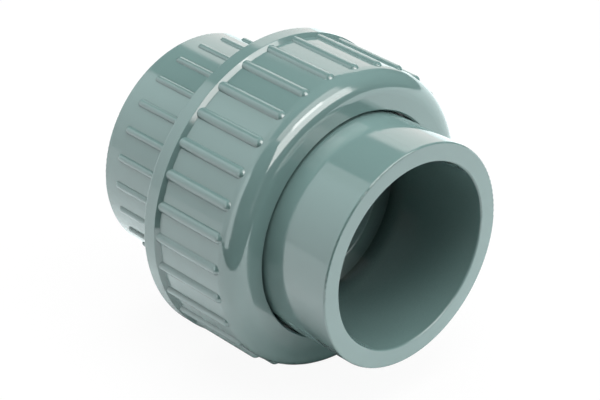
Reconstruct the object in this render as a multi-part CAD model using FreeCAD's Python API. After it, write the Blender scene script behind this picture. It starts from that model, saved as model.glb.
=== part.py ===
import FreeCAD, Part
import math
import os

# Pipe union for a 63 mm plastic pipe: a ribbed body with a male thread, a plain union
# end with a collar, a ribbed nut that pulls the two together, and an O-ring between them.
#
# Frame: +X runs along the pipe axis from the body to the union end, +Z is up. The origin
# lies on the axis at the body's pipe stop, where the end of the rear pipe bears.
# Lengths are in millimetres.

# Pipe sockets, the same in the body and in the union end
PIPE_R = 31.5               # outside radius of the pipe
SOCKET_CLEARANCE = 0.15     # radial gap that the solvent cement fills
SOCKET_DEPTH = 40.0         # mouth to pipe stop
MOUTH_ROUND = 0.6           # inner edge of each socket's mouth
WATERWAY_R = 24.3           # through bore past the pipe stops
WATERWAY_ROUND = 0.5        # its edge at each pipe stop

# Along the axis between the two pipe stops
STOP_TO_STOP = 23.5
END_WALL = 2.7              # union end's wall from its pipe stop to its sealing face
FACE_GAP = 0.3              # left between the two faces when the ring is squeezed

# Threaded body
HUB_WALL = 7.25             # around the rear socket
HUB_REAR_ROUND = 0.6
THREAD_ROOT_R = 44.2        # male thread's root
THREAD_DEPTH = 2.1
THREAD_LENGTH = 18.5
THREAD_LEAD_IN = 1.2        # chamfer at the front of the thread
SHOULDER_ROUND = 2.0        # where the hub meets the thread's shoulder

# Ribs on the hub
HUB_RIB_COUNT = 25
HUB_RIB_WIDTH = 2.6
HUB_RIB_HEIGHT = 0.9
HUB_RIB_SETBACK = 6.0       # rear face to the ribs' rounded ends
HUB_RIB_PHASE = 5.8         # degrees about +X from +Y

# Union end
UNION_SOCKET_WALL = 6.35
RIM_ROUND = 0.6
COLLAR_CLEARANCE = 0.4      # collar under the thread's root, so that the nut passes over it
COLLAR_LENGTH = 10.0
COLLAR_CHAMFER = 1.0
COLLAR_NECK_ROUND = 0.6     # where the socket wall meets the collar's front face

# Union nut
NUT_THREAD_CLEARANCE = 0.3  # nut's thread root over the male thread's crest
NUT_SEAT_GAP = 0.05         # nut's lip to the collar it pulls on
NUT_LIP = 6.35              # thickness of the front lip
NUT_HOLE_CLEARANCE = 0.7    # lip's hole around the socket
NUT_LENGTH = 40.0
NUT_BARREL_WALL = 4.6       # thread root to barrel, at the front corner
NUT_DRAFT = 0.5             # degrees, barrel wider towards the flange
NUT_CORNER_ROUND = 7.2      # large outer corner between barrel and front face
NUT_HOLE_CHAMFER = 0.5
NUT_MOUTH_CHAMFER = 1.5     # lead-in at the rear of the thread
NUT_INNER_ROUND = 1.0

# Flange around the rear of the nut
FLANGE_HEIGHT = 1.8         # above the barrel at the front corner
FLANGE_RIM = 5.15           # width of its outer face
FLANGE_SLOPE = 1.15         # along the axis, from the outer face down to the barrel
FLANGE_REAR_ROUND = 0.6
FLANGE_EDGE_ROUND = 0.25
FLANGE_FOOT_ROUND = 0.25

# Ribs on the nut
NUT_RIB_COUNT = 30
NUT_RIB_WIDTH = 3.8
NUT_RIB_HEIGHT = 1.1
NUT_RIB_SETBACK = 6.0       # front face to the ribs' rounded ends
NUT_RIB_PHASE = 9.95        # degrees about +X from +Y

# O-ring
RING_SECTION = 5.34         # diameter of its section before it is squeezed
RING_SQUEEZE = 0.2          # share of the section taken up by the squeeze
RING_MEAN_R = 36.0
RING_SIDE_GAP = 0.3         # to each wall of its groove

# Worked out from the sizes above
SOCKET_R = PIPE_R + SOCKET_CLEARANCE
HUB_R = SOCKET_R + HUB_WALL
UNION_SOCKET_R = SOCKET_R + UNION_SOCKET_WALL
COLLAR_R = THREAD_ROOT_R - COLLAR_CLEARANCE
NUT_THREAD_R = THREAD_ROOT_R + THREAD_DEPTH + NUT_THREAD_CLEARANCE
NUT_BARREL_R = NUT_THREAD_R + NUT_BARREL_WALL
NUT_HOLE_R = UNION_SOCKET_R + NUT_HOLE_CLEARANCE
FLANGE_R = NUT_BARREL_R + FLANGE_HEIGHT

HUB_REAR_X = -SOCKET_DEPTH
SEAL_FACE_X = STOP_TO_STOP - END_WALL
BODY_FRONT_X = SEAL_FACE_X - FACE_GAP
THREAD_REAR_X = BODY_FRONT_X - THREAD_LENGTH
COLLAR_FRONT_X = SEAL_FACE_X + COLLAR_LENGTH
RIM_X = STOP_TO_STOP + SOCKET_DEPTH
LIP_REAR_X = COLLAR_FRONT_X + NUT_SEAT_GAP
NUT_FRONT_X = LIP_REAR_X + NUT_LIP
NUT_REAR_X = NUT_FRONT_X - NUT_LENGTH
FLANGE_EDGE_X = NUT_REAR_X + FLANGE_RIM
FLANGE_FOOT_X = FLANGE_EDGE_X + FLANGE_SLOPE

RING_HEIGHT = RING_SECTION * (1 - RING_SQUEEZE)
RING_AREA = math.pi * RING_SECTION ** 2 / 4
RING_WIDTH = RING_AREA / RING_HEIGHT + (1 - math.pi / 4) * RING_HEIGHT
GROOVE_DEPTH = RING_HEIGHT - FACE_GAP
GROOVE_HALF_WIDTH = RING_WIDTH / 2 + RING_SIDE_GAP

ORIGIN = FreeCAD.Vector(0, 0, 0)
AXIS = FreeCAD.Vector(1, 0, 0)


def corner_arc(before, corner, after, radius):
    """Start, middle and end of the arc that rounds one corner of an outline."""
    back = before.sub(corner).normalize()
    ahead = after.sub(corner).normalize()
    half_angle = back.getAngle(ahead) / 2
    setback = radius / math.tan(half_angle)
    inward = back.add(ahead).normalize()
    to_middle = radius / math.sin(half_angle) - radius
    return corner + back * setback, corner + inward * to_middle, corner + ahead * setback


def outline_edges(corners):
    """Edges of a closed outline in the XZ plane from (x, r) or (x, r, round) corners."""
    points = [FreeCAD.Vector(corner[0], 0, corner[1]) for corner in corners]
    runs = []
    for index, corner in enumerate(corners):
        if len(corner) == 3:
            after = points[(index + 1) % len(points)]
            runs.append(corner_arc(points[index - 1], points[index], after, corner[2]))
        else:
            runs.append((points[index],))
    edges = []
    for index, run in enumerate(runs):
        if len(run) == 3:
            edges.append(Part.Arc(*run).toShape())
        edges.append(Part.makeLine(run[-1], runs[(index + 1) % len(runs)][0]))
    return edges


def turned(corners):
    """Solid of revolution about the pipe axis."""
    profile = Part.Face(Part.Wire(outline_edges(corners)))
    return profile.revolve(ORIGIN, AXIS, 360)


def rib(width, height, surface_r, tip_x, root_x):
    """Bar lying on a round surface at the top, its free end at tip_x a part of a sphere."""
    section_r = (width ** 2 / 4 + height ** 2) / (2 * height)
    axis_z = surface_r + height - section_r
    into_rib = math.copysign(1, root_x - tip_x)
    tip = FreeCAD.Vector(tip_x, 0, axis_z)
    on_sphere = FreeCAD.Vector(tip_x + into_rib * section_r * (1 - math.sqrt(0.5)), 0,
                               axis_z + section_r * math.sqrt(0.5))
    shoulder = FreeCAD.Vector(tip_x + into_rib * section_r, 0, axis_z + section_r)
    root_top = FreeCAD.Vector(root_x, 0, axis_z + section_r)
    root = FreeCAD.Vector(root_x, 0, axis_z)
    edges = [Part.Arc(tip, on_sphere, shoulder).toShape(),
             Part.makeLine(shoulder, root_top),
             Part.makeLine(root_top, root),
             Part.makeLine(root, tip)]
    return Part.Face(Part.Wire(edges)).revolve(tip, AXIS, 360)


def around_axis(shape, count, phase):
    """Copies of a shape at the top, spread evenly round the pipe axis."""
    copies = []
    for index in range(count):
        copy = shape.copy()
        copy.rotate(ORIGIN, AXIS, phase - 90 + index * 360 / count)
        copies.append(copy)
    return copies


def threaded_body():
    """Ribbed hub with the rear socket, the thread's core and the O-ring groove."""
    groove_floor_x = BODY_FRONT_X - GROOVE_DEPTH
    groove_inner_r = RING_MEAN_R - GROOVE_HALF_WIDTH
    groove_outer_r = RING_MEAN_R + GROOVE_HALF_WIDTH
    core = turned([
        (HUB_REAR_X, SOCKET_R, MOUTH_ROUND),
        (HUB_REAR_X, HUB_R, HUB_REAR_ROUND),
        (THREAD_REAR_X, HUB_R, SHOULDER_ROUND),
        (THREAD_REAR_X, THREAD_ROOT_R),
        (BODY_FRONT_X - THREAD_LEAD_IN, THREAD_ROOT_R),
        (BODY_FRONT_X, THREAD_ROOT_R - THREAD_LEAD_IN),
        (BODY_FRONT_X, groove_outer_r),
        (groove_floor_x, groove_outer_r),
        (groove_floor_x, groove_inner_r),
        (BODY_FRONT_X, groove_inner_r),
        (BODY_FRONT_X, WATERWAY_R),
        (0, WATERWAY_R, WATERWAY_ROUND),
        (0, SOCKET_R),
    ])
    bar = rib(HUB_RIB_WIDTH, HUB_RIB_HEIGHT, HUB_R, HUB_REAR_X + HUB_RIB_SETBACK,
              THREAD_REAR_X + SHOULDER_ROUND)
    return core.fuse(around_axis(bar, HUB_RIB_COUNT, HUB_RIB_PHASE)).removeSplitter()


def union_end():
    """Plain front socket with the collar that the nut pulls on."""
    return turned([
        (SEAL_FACE_X, WATERWAY_R),
        (SEAL_FACE_X, COLLAR_R - COLLAR_CHAMFER),
        (SEAL_FACE_X + COLLAR_CHAMFER, COLLAR_R),
        (COLLAR_FRONT_X, COLLAR_R),
        (COLLAR_FRONT_X, UNION_SOCKET_R, COLLAR_NECK_ROUND),
        (RIM_X, UNION_SOCKET_R, RIM_ROUND),
        (RIM_X, SOCKET_R, MOUTH_ROUND),
        (STOP_TO_STOP, SOCKET_R),
        (STOP_TO_STOP, WATERWAY_R, WATERWAY_ROUND),
    ])


def union_nut():
    """Ribbed nut: a drafted barrel, a front lip round the socket and a rear flange."""
    taper = math.tan(math.radians(NUT_DRAFT))
    barrel_length = NUT_FRONT_X - FLANGE_FOOT_X
    barrel_foot_r = NUT_BARREL_R + barrel_length * taper
    shell = turned([
        (NUT_REAR_X, NUT_THREAD_R + NUT_MOUTH_CHAMFER),
        (NUT_REAR_X, FLANGE_R, FLANGE_REAR_ROUND),
        (FLANGE_EDGE_X, FLANGE_R, FLANGE_EDGE_ROUND),
        (FLANGE_FOOT_X, barrel_foot_r, FLANGE_FOOT_ROUND),
        (NUT_FRONT_X, NUT_BARREL_R, NUT_CORNER_ROUND),
        (NUT_FRONT_X, NUT_HOLE_R + NUT_HOLE_CHAMFER),
        (NUT_FRONT_X - NUT_HOLE_CHAMFER, NUT_HOLE_R),
        (LIP_REAR_X, NUT_HOLE_R),
        (LIP_REAR_X, NUT_THREAD_R, NUT_INNER_ROUND),
        (NUT_REAR_X + NUT_MOUTH_CHAMFER, NUT_THREAD_R),
    ])
    tip_x = NUT_FRONT_X - NUT_RIB_SETBACK
    bar = rib(NUT_RIB_WIDTH, NUT_RIB_HEIGHT, NUT_BARREL_R, tip_x, FLANGE_EDGE_X)
    bar.rotate(FreeCAD.Vector(NUT_FRONT_X, 0, NUT_BARREL_R), FreeCAD.Vector(0, 1, 0), NUT_DRAFT)
    return shell.fuse(around_axis(bar, NUT_RIB_COUNT, NUT_RIB_PHASE)).removeSplitter()


def o_ring_seal():
    """O-ring squeezed between the groove's floor and the union end's face."""
    inner_r = RING_MEAN_R - RING_WIDTH / 2
    outer_r = RING_MEAN_R + RING_WIDTH / 2
    round_r = RING_HEIGHT / 2
    rear_x = SEAL_FACE_X - RING_HEIGHT
    middle_x = SEAL_FACE_X - round_r

    def point(x, r):
        return FreeCAD.Vector(x, 0, r)

    edges = [
        Part.makeLine(point(rear_x, inner_r + round_r), point(rear_x, outer_r - round_r)),
        Part.Arc(point(rear_x, outer_r - round_r), point(middle_x, outer_r),
                 point(SEAL_FACE_X, outer_r - round_r)).toShape(),
        Part.makeLine(point(SEAL_FACE_X, outer_r - round_r), point(SEAL_FACE_X, inner_r + round_r)),
        Part.Arc(point(SEAL_FACE_X, inner_r + round_r), point(middle_x, inner_r),
                 point(rear_x, inner_r + round_r)).toShape(),
    ]
    return Part.Face(Part.Wire(edges)).revolve(ORIGIN, AXIS, 360)


PIECES = {
    "threaded_body": threaded_body,
    "union_end": union_end,
    "union_nut": union_nut,
    "o_ring_seal": o_ring_seal,
}

os.makedirs("parts", exist_ok=True)
for name, build in PIECES.items():
    solid = build()
    print(name, "valid", solid.isValid(), "solids", len(solid.Solids), "mm3", round(solid.Volume, 1))
    solid.exportStep("parts/" + name + ".step")
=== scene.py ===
import math

import bpy
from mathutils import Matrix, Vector


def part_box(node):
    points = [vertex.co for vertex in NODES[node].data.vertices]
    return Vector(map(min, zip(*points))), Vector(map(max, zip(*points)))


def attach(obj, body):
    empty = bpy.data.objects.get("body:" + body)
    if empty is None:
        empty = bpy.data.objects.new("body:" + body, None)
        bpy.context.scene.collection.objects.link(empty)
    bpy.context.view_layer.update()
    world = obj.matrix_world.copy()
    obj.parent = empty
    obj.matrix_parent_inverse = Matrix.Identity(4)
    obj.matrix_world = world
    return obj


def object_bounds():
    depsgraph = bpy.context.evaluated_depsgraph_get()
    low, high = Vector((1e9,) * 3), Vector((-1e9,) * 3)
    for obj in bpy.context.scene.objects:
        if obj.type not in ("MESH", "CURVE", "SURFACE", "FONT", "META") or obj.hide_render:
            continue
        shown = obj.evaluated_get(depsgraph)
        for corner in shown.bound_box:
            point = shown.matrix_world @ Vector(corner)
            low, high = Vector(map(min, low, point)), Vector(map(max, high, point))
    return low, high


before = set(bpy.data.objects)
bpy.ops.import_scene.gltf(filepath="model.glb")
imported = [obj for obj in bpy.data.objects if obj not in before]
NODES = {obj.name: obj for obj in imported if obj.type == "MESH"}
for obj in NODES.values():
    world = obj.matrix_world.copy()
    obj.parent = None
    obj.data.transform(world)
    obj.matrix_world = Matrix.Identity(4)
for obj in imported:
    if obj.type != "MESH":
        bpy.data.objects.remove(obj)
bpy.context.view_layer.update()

MM = 0.001

# Thread, drawn as ridges on the plain root cylinders of the body and the nut
THREAD_PITCH = 4.0 * MM
THREAD_DEPTH = 2.1 * MM
THREAD_CREST = 1.1 * MM         # width of a ridge at its crest
THREAD_FLANK = 0.65 * MM        # axial run of each flank
THREAD_STEPS = 120              # sections in one turn
THREAD_FADE = 1 / 3             # of a turn, over which a ridge tapers out at each end
THREAD_END_HEIGHT = 0.02        # share of its height that a ridge keeps at its very end
THREAD_OVERLAP = 0.1 * MM       # how far a ridge sinks into its root cylinder
THREAD_START = 2.2 * MM         # body's front face to the male ridge
THREAD_LENGTH = 15.4 * MM
NUT_WALL = 6.4 * MM             # nut's flange rim down to its thread root

# Camera: degrees and metres about the middle of the object, lens and sensor in mm
CAMERA_AZIMUTH = 46.65          # from -Y towards +X
CAMERA_ELEVATION = 30.3
CAMERA_DISTANCE = 0.6522
CAMERA_AIM_RIGHT = 0.0007       # aim to the right of the middle and below it
CAMERA_AIM_UP = -0.0013
CAMERA_LENS = 120.0
CAMERA_SENSOR = 36.0
CAMERA_CLIP = 0.01

# Grey PVC-U
PLASTIC_COLOUR = (0.158, 0.252, 0.241)
PLASTIC_DARK = (0.150, 0.240, 0.230)
PLASTIC_ROUGHNESS = (0.06, 0.09)
PLASTIC_IOR = 1.5
CLOUDS = (28.0, 4.0)            # noise scale and detail of the faint clouding
MOTTLE = (160.0, 5.0)           # of the patches of gloss
PEEL = (420.0, 2.0)             # of the orange peel
PEEL_STRENGTH = 0.05
PEEL_HEIGHT = 0.1 * MM
NOISE_ROUGHNESS = 0.55
NOISE_RANGE = (0.3, 0.7)        # part of a noise's values that is spread over the full change
# Painted shade in crevices and hollows, darkening the colour: reach, openness at which it is
# full and at which it ends, and the share of the colour that is left where it is full
PAINTED_CREVICE_SHADE = (8.0 * MM, 0.0, 1.0, 0.4)
PAINTED_HOLLOW_SHADE = (90.0 * MM, 0.0, 0.5, 0.2)
OPENNESS_SAMPLES = 8

# Black EPDM
RUBBER_COLOUR = (0.012, 0.012, 0.013)
RUBBER_BLOOM = (0.02, 0.02, 0.021)
RUBBER_ROUGHNESS = (0.5, 0.65)
BLOOM = (300.0, 3.0)            # noise scale and detail

# Studio cards: azimuth from +X towards +Y, elevation, width and height (degrees), radiance,
# tint and distance from the origin (m). The first set lights the surfaces and the second
# shows in their gloss, where a radiance of 0 is a black flag that keeps the white room out.
PLAIN = (1.0, 1.0, 1.0)
WARM = (1.02, 0.98, 0.96)
WARMER = (1.06, 0.96, 0.94)
COOL = (0.93, 1.01, 1.02)
LIGHT_CARDS = {
    "top": (0.0, 90.0, 60.0, 60.0, 4.6, PLAIN, 1.5),
    "front_high": (20.0, 45.0, 70.0, 40.0, 2.1, PLAIN, 1.5),
    "front": (30.0, 18.0, 60.0, 30.0, 2.2, PLAIN, 1.5),
    "left": (-125.0, 20.0, 90.0, 36.0, 0.5, PLAIN, 1.5),
}
GLOSS_CARDS = {
    "softbox": (12.0, 33.0, 62.0, 32.0, 5.0, WARM, 1.5),
    "softbox_core": (10.0, 45.0, 26.0, 13.0, 8.5, WARM, 1.4),
    "softbox_top": (9.0, 58.0, 58.0, 32.0, 2.2, WARMER, 1.6),
    "backdrop": (130.0, 18.0, 36.0, 46.0, 1.5, WARMER, 1.5),
    "left_wall": (-129.0, 20.0, 88.0, 72.0, 1.4, COOL, 1.7),
    "side_wall": (-88.0, 12.0, 24.0, 60.0, 2.2, COOL, 1.6),
    "dark_side": (72.0, 0.0, 172.0, 172.0, 0.0, PLAIN, 2.4),
    "dark_camera": (-45.0, 25.0, 66.0, 86.0, 0.0, PLAIN, 1.55),
    "dark_under": (0.0, -90.0, 170.0, 170.0, 0.0, PLAIN, 0.35),
    "dark_ceiling": (20.0, 80.0, 60.0, 60.0, 0.0, PLAIN, 1.8),
    "dark_behind": (172.0, 35.0, 26.0, 80.0, 0.0, PLAIN, 1.55),
}
CARD_FEATHER = 0.12             # share of a card's size over which its edge fades
CARD_MIDDLE = 0.5               # middle of a card's generated coordinates
AMBIENT = 0.02                  # radiance of the room where no camera or gloss ray looks
FLOOR_REACH = 4.0               # half the side of the floor that the camera sees
TABLE_REACH = 1.5               # table's reach to the sides and to the back
PAPER_COLOUR = (0.85, 0.85, 0.85)
WHITE = (1.0, 1.0, 1.0, 1.0)
TABLE_GAP = 0.2 * MM            # table lies this far below the floor that the camera sees
TABLE_FRONT = 0.17              # table's edge on the camera's side, from the origin
FLOOR_GLOW = 1.85               # radiance of the open table in the gloss
SHADOW_REACH = 45.0 * MM        # how far the contact shadow spreads
SHADOW_CORE = 0.35              # openness below which the table has no glow
FLOOR_WHITE = 0.94              # share of emission in the paper, the rest shows its shadow


# ---------- materials ----------

def new_material(name):
    """Node material, its nodes and links, and its main shader."""
    material = bpy.data.materials.new(name)
    material.use_nodes = True
    nodes = material.node_tree.nodes
    return material, nodes, material.node_tree.links, nodes["Principled BSDF"]


def blank_tree(owner):
    """Empties the node tree of a material or a world, and returns its nodes and links."""
    owner.use_nodes = True
    owner.node_tree.nodes.clear()
    return owner.node_tree.nodes, owner.node_tree.links


def noise(nodes, links, coordinate, pattern):
    """Noise texture over the object's own coordinates, of a pattern's scale and detail."""
    scale, detail = pattern
    texture = nodes.new("ShaderNodeTexNoise")
    texture.inputs["Scale"].default_value = scale
    texture.inputs["Detail"].default_value = detail
    texture.inputs["Roughness"].default_value = NOISE_ROUGHNESS
    links.new(coordinate, texture.inputs["Vector"])
    return texture.outputs["Fac"]


def ramp(nodes, links, factor, low, high, low_value, high_value):
    """Maps a factor from low..high to low_value..high_value."""
    node = nodes.new("ShaderNodeMapRange")
    node.inputs["From Min"].default_value = low
    node.inputs["From Max"].default_value = high
    node.inputs["To Min"].default_value = low_value
    node.inputs["To Max"].default_value = high_value
    links.new(factor, node.inputs["Value"])
    return node.outputs["Result"]


def blend(nodes, links, factor, first, second):
    """Mix of two plain colours by a factor."""
    mix = nodes.new("ShaderNodeMix")
    mix.data_type = "RGBA"
    mix.inputs["A"].default_value = (*first, 1)
    mix.inputs["B"].default_value = (*second, 1)
    links.new(factor, mix.inputs["Factor"])
    return mix.outputs["Result"]


def mix_shaders(nodes, links, share, first, second, output_type):
    """Two shaders mixed by a share, led to an output of the given type."""
    mix = nodes.new("ShaderNodeMixShader")
    output = nodes.new(output_type)
    links.new(share, mix.inputs["Fac"])
    links.new(first, mix.inputs[1])
    links.new(second, mix.inputs[2])
    links.new(mix.outputs["Shader"], output.inputs["Surface"])


def plastic(name):
    """Moulded PVC-U: even grey with faint clouding, satin gloss and a fine orange peel, and
    painted shade that darkens the colour and dims the gloss in crevices and hollows.
    """
    material, nodes, links, shader = new_material(name)
    coordinate = nodes.new("ShaderNodeTexCoord").outputs["Object"]

    clouds = ramp(nodes, links, noise(nodes, links, coordinate, CLOUDS), *NOISE_RANGE, 0.0, 1.0)
    colour = blend(nodes, links, clouds, PLASTIC_DARK, PLASTIC_COLOUR)
    # Painted shade: ambient occlusion darkens the colour in crevices and in hollows
    for reach, closed, open_, darkest in (PAINTED_CREVICE_SHADE, PAINTED_HOLLOW_SHADE):
        nearby = nodes.new("ShaderNodeAmbientOcclusion")
        nearby.samples = OPENNESS_SAMPLES
        nearby.only_local = True            # so that it holds at every pose of the pieces
        nearby.inputs["Distance"].default_value = reach
        shade = nodes.new("ShaderNodeVectorMath")
        shade.operation = "SCALE"
        links.new(colour, shade.inputs[0])
        left = ramp(nodes, links, nearby.outputs["AO"], closed, open_, darkest, 1.0)
        links.new(left, shade.inputs["Scale"])
        colour = shade.outputs["Vector"]
    links.new(colour, shader.inputs["Base Color"])
    # After the loop this is the hollows' share of painted shade, so their gloss dims as their
    # colour does
    links.new(left, shader.inputs["Specular IOR Level"])

    mottle = noise(nodes, links, coordinate, MOTTLE)
    links.new(ramp(nodes, links, mottle, *NOISE_RANGE, *PLASTIC_ROUGHNESS),
              shader.inputs["Roughness"])

    bump = nodes.new("ShaderNodeBump")
    bump.inputs["Strength"].default_value = PEEL_STRENGTH
    bump.inputs["Distance"].default_value = PEEL_HEIGHT
    links.new(noise(nodes, links, coordinate, PEEL), bump.inputs["Height"])
    links.new(bump.outputs["Normal"], shader.inputs["Normal"])

    shader.inputs["IOR"].default_value = PLASTIC_IOR
    return material


def rubber():
    """Matt black EPDM."""
    material, nodes, links, shader = new_material("epdm_rubber")
    coordinate = nodes.new("ShaderNodeTexCoord").outputs["Object"]
    bloom = noise(nodes, links, coordinate, BLOOM)
    links.new(ramp(nodes, links, bloom, *NOISE_RANGE, *RUBBER_ROUGHNESS),
              shader.inputs["Roughness"])
    links.new(blend(nodes, links, bloom, RUBBER_COLOUR, RUBBER_BLOOM),
              shader.inputs["Base Color"])
    return material


def dress(obj, material):
    """Gives an object one material in place of its own."""
    obj.data.materials.clear()
    obj.data.materials.append(material)


# ---------- thread ----------

def thread_ridge(name, root_r, crest_r, start_x, end_x, body, material):
    """Right-hand trapezoidal ridge wound on a root cylinder, tapering out at both ends."""
    turns = (end_x - start_x) / THREAD_PITCH
    count = int(turns * THREAD_STEPS)
    overlap = math.copysign(THREAD_OVERLAP, root_r - crest_r)
    fade_steps = THREAD_STEPS * THREAD_FADE
    half_crest = THREAD_CREST / 2
    half_root = half_crest + THREAD_FLANK
    vertices = []
    for step in range(count + 1):
        along = step / count
        angle = 2 * math.pi * turns * along
        centre_x = start_x + (end_x - start_x) * along
        fade = min(1.0, step / fade_steps, (count - step) / fade_steps)
        tip_r = root_r + (crest_r - root_r) * max(fade, THREAD_END_HEIGHT)
        section = [
            (-half_root, root_r + overlap),
            (-half_root, root_r),
            (-half_crest, tip_r),
            (half_crest, tip_r),
            (half_root, root_r),
            (half_root, root_r + overlap),
        ]
        for dx, r in section:
            vertices.append((centre_x + dx, r * math.cos(angle), r * math.sin(angle)))
    width = len(section)
    faces = []
    for step in range(count):
        for side in range(width):
            a = step * width + side
            b = step * width + (side + 1) % width
            faces.append((a, b, b + width, a + width))
    faces.append(tuple(range(width - 1, -1, -1)))
    faces.append(tuple(count * width + side for side in range(width)))
    mesh = bpy.data.meshes.new(name)
    mesh.from_pydata(vertices, [], faces)
    mesh.update()
    obj = bpy.data.objects.new(name, mesh)
    bpy.context.scene.collection.objects.link(obj)
    dress(obj, material)
    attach(obj, body)


def make_threads(body_material, nut_material):
    """Male ridge on the body and female ridge in the nut, half a pitch apart."""
    body_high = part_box("threaded_body")[1]
    nut_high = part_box("union_nut")[1]
    male_root = body_high[2]
    nut_root = nut_high[2] - NUT_WALL
    front = body_high[0] - THREAD_START
    rear = front - THREAD_LENGTH
    thread_ridge("male_thread", male_root, male_root + THREAD_DEPTH, rear, front,
                 "body", body_material)
    nut_rear = rear - THREAD_PITCH / 2
    nut_front = front + THREAD_PITCH / 2
    thread_ridge("nut_thread", nut_root, nut_root - THREAD_DEPTH, nut_rear, nut_front,
                 "nut", nut_material)


# ---------- studio ----------

def card_material(name, radiance, tint):
    """Emitter that turns clear towards the card's edges; a radiance of 0 makes a black flag."""
    material = bpy.data.materials.new(name)
    nodes, links = blank_tree(material)
    emitter = nodes.new("ShaderNodeEmission")
    emitter.inputs["Strength"].default_value = radiance
    emitter.inputs["Color"].default_value = (*tint, 1)
    clear = nodes.new("ShaderNodeBsdfTransparent")
    place = nodes.new("ShaderNodeVectorMath")
    place.operation = "SUBTRACT"
    place.inputs[1].default_value = (CARD_MIDDLE, CARD_MIDDLE, CARD_MIDDLE)
    away = nodes.new("ShaderNodeVectorMath")
    away.operation = "ABSOLUTE"
    axes = nodes.new("ShaderNodeSeparateXYZ")
    links.new(nodes.new("ShaderNodeTexCoord").outputs["Generated"], place.inputs[0])
    links.new(place.outputs["Vector"], away.inputs[0])
    links.new(away.outputs["Vector"], axes.inputs[0])
    cover = nodes.new("ShaderNodeMath")
    cover.operation = "MULTIPLY"
    for slot, axis in enumerate("XY"):
        fade = nodes.new("ShaderNodeMapRange")
        fade.interpolation_type = "SMOOTHSTEP"
        fade.inputs["From Min"].default_value = CARD_MIDDLE
        fade.inputs["From Max"].default_value = CARD_MIDDLE - CARD_FEATHER
        links.new(axes.outputs[axis], fade.inputs["Value"])
        links.new(fade.outputs["Result"], cover.inputs[slot])
    mix_shaders(nodes, links, cover.outputs["Value"], clear.outputs["BSDF"],
                emitter.outputs["Emission"], "ShaderNodeOutputMaterial")
    return material


def make_card(name, azimuth, elevation, width, height, radiance, tint, distance, in_gloss):
    """Flat card facing the object: it lights surfaces, or it shows in their gloss."""
    a = math.radians(azimuth)
    e = math.radians(elevation)
    outward = Vector((math.cos(a) * math.cos(e), math.sin(a) * math.cos(e), math.sin(e)))
    half_w = distance * math.tan(math.radians(width / 2))
    half_h = distance * math.tan(math.radians(height / 2))
    mesh = bpy.data.meshes.new(name)
    mesh.from_pydata([(-half_w, -half_h, 0), (half_w, -half_h, 0),
                      (half_w, half_h, 0), (-half_w, half_h, 0)], [], [(0, 1, 2, 3)])
    card = bpy.data.objects.new(name, mesh)
    bpy.context.scene.collection.objects.link(card)
    card.location = outward * distance
    card.rotation_mode = "QUATERNION"
    card.rotation_quaternion = (-outward).to_track_quat("Z", "Y")
    card.visible_camera = False
    card.visible_shadow = False
    card.visible_diffuse = not in_gloss
    card.visible_glossy = in_gloss
    card.data.materials.append(card_material(name, radiance, tint))


def sees_background(nodes, links):
    """1 for camera, gloss and glass rays and 0 for the others, and the path it comes from."""
    path = nodes.new("ShaderNodeLightPath")
    total = path.outputs["Is Camera Ray"]
    for ray in ("Is Glossy Ray", "Is Transmission Ray"):
        either = nodes.new("ShaderNodeMath")
        either.operation = "MAXIMUM"
        links.new(total, either.inputs[0])
        links.new(path.outputs[ray], either.inputs[1])
        total = either.outputs["Value"]
    return total, path


def make_world():
    """Dim even room that looks white to the camera, in gloss and through glass."""
    world = bpy.data.worlds.new("studio")
    bpy.context.scene.world = world
    nodes, links = blank_tree(world)
    backgrounds = []
    for strength in (AMBIENT, 1.0):
        background = nodes.new("ShaderNodeBackground")
        background.inputs["Color"].default_value = WHITE
        background.inputs["Strength"].default_value = strength
        backgrounds.append(background.outputs["Background"])
    seen, _ = sees_background(nodes, links)
    mix_shaders(nodes, links, seen, *backgrounds, "ShaderNodeOutputWorld")


def paper_material():
    """White paper: near plain white to the camera, and a glow with a deep shadow in gloss."""
    material = bpy.data.materials.new("white_floor")
    nodes, links = blank_tree(material)
    paper = nodes.new("ShaderNodeBsdfDiffuse")
    paper.inputs["Color"].default_value = (*PAPER_COLOUR, 1)
    background, path = sees_background(nodes, links)
    share = nodes.new("ShaderNodeMath")
    share.operation = "MULTIPLY"
    share.inputs[1].default_value = FLOOR_WHITE
    links.new(background, share.inputs[0])
    contact = nodes.new("ShaderNodeAmbientOcclusion")
    contact.samples = OPENNESS_SAMPLES
    contact.inputs["Distance"].default_value = SHADOW_REACH
    glow = ramp(nodes, links, contact.outputs["AO"], SHADOW_CORE, 1.0, 0.0, FLOOR_GLOW)
    tinted = nodes.new("ShaderNodeVectorMath")
    tinted.operation = "SCALE"
    tinted.inputs[0].default_value = COOL
    links.new(glow, tinted.inputs["Scale"])
    seen = nodes.new("ShaderNodeMix")
    seen.data_type = "RGBA"
    seen.inputs["B"].default_value = WHITE
    links.new(path.outputs["Is Camera Ray"], seen.inputs["Factor"])
    links.new(tinted.outputs["Vector"], seen.inputs["A"])
    emitter = nodes.new("ShaderNodeEmission")
    links.new(seen.outputs["Result"], emitter.inputs["Color"])
    mix_shaders(nodes, links, share.outputs["Value"], paper.outputs["BSDF"],
                emitter.outputs["Emission"], "ShaderNodeOutputMaterial")
    return material


def make_sheet(name, corners, material):
    """Flat four-cornered sheet of the studio."""
    mesh = bpy.data.meshes.new(name)
    mesh.from_pydata(corners, [], [(0, 1, 2, 3)])
    sheet = bpy.data.objects.new(name, mesh)
    bpy.context.scene.collection.objects.link(sheet)
    sheet.data.materials.append(material)
    return sheet


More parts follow.
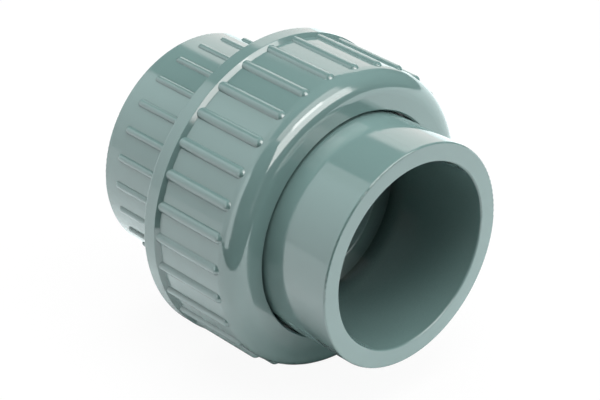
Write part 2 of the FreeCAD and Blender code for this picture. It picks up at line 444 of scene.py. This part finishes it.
def make_floor():
    """Endless floor for the camera, and the white table that lights and shows in the gloss."""
    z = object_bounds()[0][2]
    paper = paper_material()
    reach = FLOOR_REACH
    floor = make_sheet("floor", [(-reach, -reach, z), (reach, -reach, z),
                                 (reach, reach, z), (-reach, reach, z)], paper)
    floor.visible_diffuse = False
    floor.visible_glossy = False
    floor.visible_shadow = False
    a = math.radians(CAMERA_AZIMUTH)
    towards = Vector((math.sin(a), -math.cos(a), 0))
    across = Vector((math.cos(a), math.sin(a), 0)) * TABLE_REACH
    down = Vector((0, 0, z - TABLE_GAP))
    front = down + towards * TABLE_FRONT
    back = down - towards * TABLE_REACH
    table = make_sheet("table", [front - across, front + across, back + across, back - across],
                       paper)
    table.visible_camera = False


def make_camera():
    """Long lens looking down at the union from its front socket's side."""
    low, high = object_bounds()
    middle = (low + high) / 2
    a = math.radians(CAMERA_AZIMUTH)
    e = math.radians(CAMERA_ELEVATION)
    back = Vector((math.sin(a) * math.cos(e), -math.cos(a) * math.cos(e), math.sin(e)))
    right = Vector((math.cos(a), math.sin(a), 0))
    up = back.cross(right)
    data = bpy.data.cameras.new("camera")
    data.sensor_width = CAMERA_SENSOR
    data.lens = CAMERA_LENS
    data.clip_start = CAMERA_CLIP
    camera = bpy.data.objects.new("camera", data)
    bpy.context.scene.collection.objects.link(camera)
    aim = middle + right * CAMERA_AIM_RIGHT + up * CAMERA_AIM_UP
    camera.location = aim + back * CAMERA_DISTANCE
    camera.rotation_mode = "QUATERNION"
    camera.rotation_quaternion = back.to_track_quat("Z", "Y")
    bpy.context.scene.camera = camera


# ---------- build ----------

body_plastic = plastic("pvc_body")
union_end_plastic = plastic("pvc_union_end")
nut_plastic = plastic("pvc_nut")
dress(NODES["threaded_body"], body_plastic)
dress(NODES["union_end"], union_end_plastic)
dress(NODES["union_nut"], nut_plastic)
dress(NODES["o_ring_seal"], rubber())
make_threads(body_plastic, nut_plastic)

make_camera()
make_floor()
make_world()
for name, card in LIGHT_CARDS.items():
    make_card(name + "_light", *card, in_gloss=False)
for name, card in GLOSS_CARDS.items():
    make_card(name + "_gloss", *card, in_gloss=True)
bpy.context.scene.view_settings.view_transform = "Standard"
